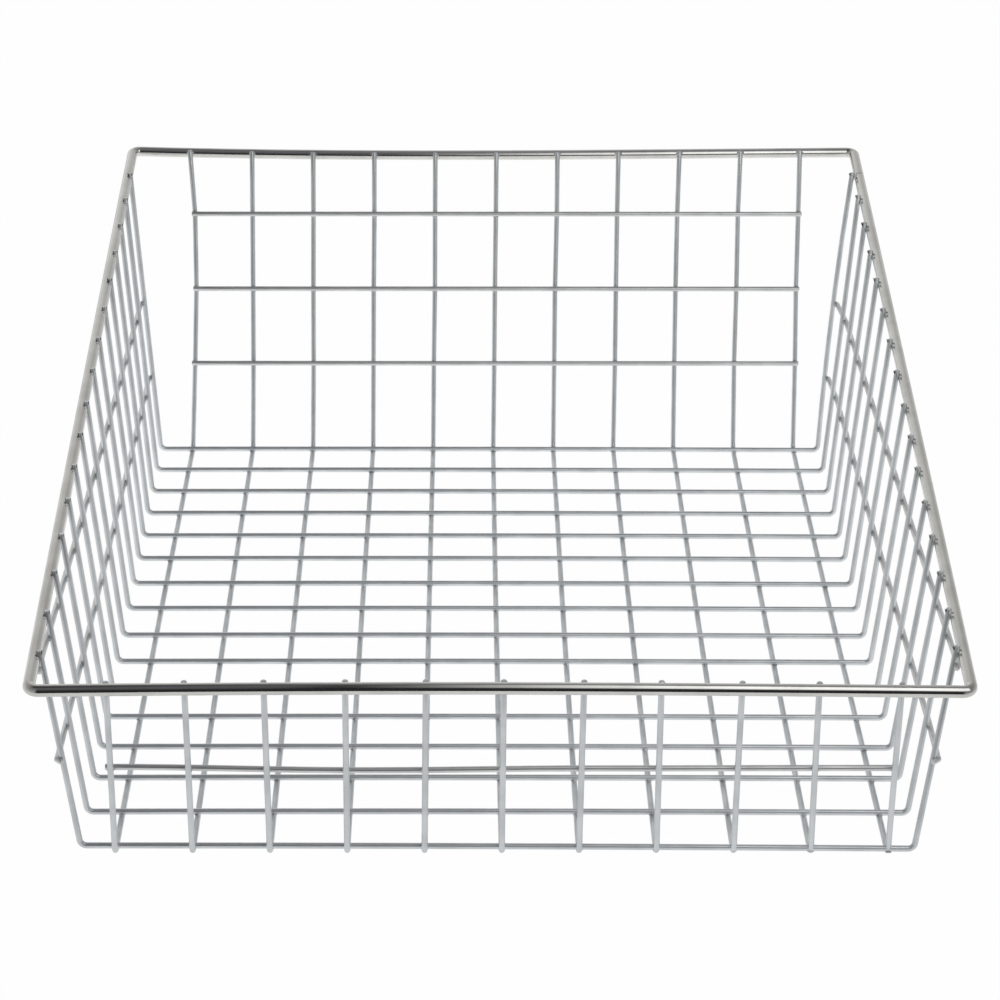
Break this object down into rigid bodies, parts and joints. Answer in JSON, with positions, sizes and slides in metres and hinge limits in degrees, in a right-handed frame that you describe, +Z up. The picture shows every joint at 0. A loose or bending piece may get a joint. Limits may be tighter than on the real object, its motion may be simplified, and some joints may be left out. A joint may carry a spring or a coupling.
{
  "type": "wire bakery tray",
  "caption": "Open-topped welded wire tray with outward-leaning mesh walls, high at the back and low in front, inside a sloping round rim rod.",
  "frame": {"origin": "under the middle of the rim's outline, on the surface that the tray stands on", "axes": "+Z up; +Y towards the high back wall, -Y towards the low front; +X to the right seen from the front"},
  "size_m": [0.6038, 0.8698, 0.2452],
  "materials": {
    "rim": "bright plated round rod, butt welded",
    "wire": "bright zinc plated drawn wire",
    "rail": "bright zinc plated drawn wire"
  },
  "bodies": {
    "root": {"rim_rod": "rim", "long_wire_01": "wire", "long_wire_02": "wire", "long_wire_03": "wire", "long_wire_04": "wire", "long_wire_05": "wire", "long_wire_06": "wire", "long_wire_07": "wire", "long_wire_08": "wire", "long_wire_09": "wire", "long_wire_10": "wire", "long_wire_11": "wire", "cross_wire_01": "wire", "cross_wire_02": "wire", "cross_wire_03": "wire", "cross_wire_04": "wire", "cross_wire_05": "wire", "cross_wire_06": "wire", "cross_wire_07": "wire", "cross_wire_08": "wire", "cross_wire_09": "wire", "cross_wire_10": "wire", "cross_wire_11": "wire", "cross_wire_12": "wire", "cross_wire_13": "wire", "cross_wire_14": "wire", "cross_wire_15": "wire", "cross_wire_16": "wire", "back_rail_1": "rail", "back_rail_2": "rail", "back_rail_3": "rail", "front_rail_1": "rail", "left_rail_1": "rail", "left_rail_2": "rail", "right_rail_1": "rail", "right_rail_2": "rail"}
  },
  "joints": []
}
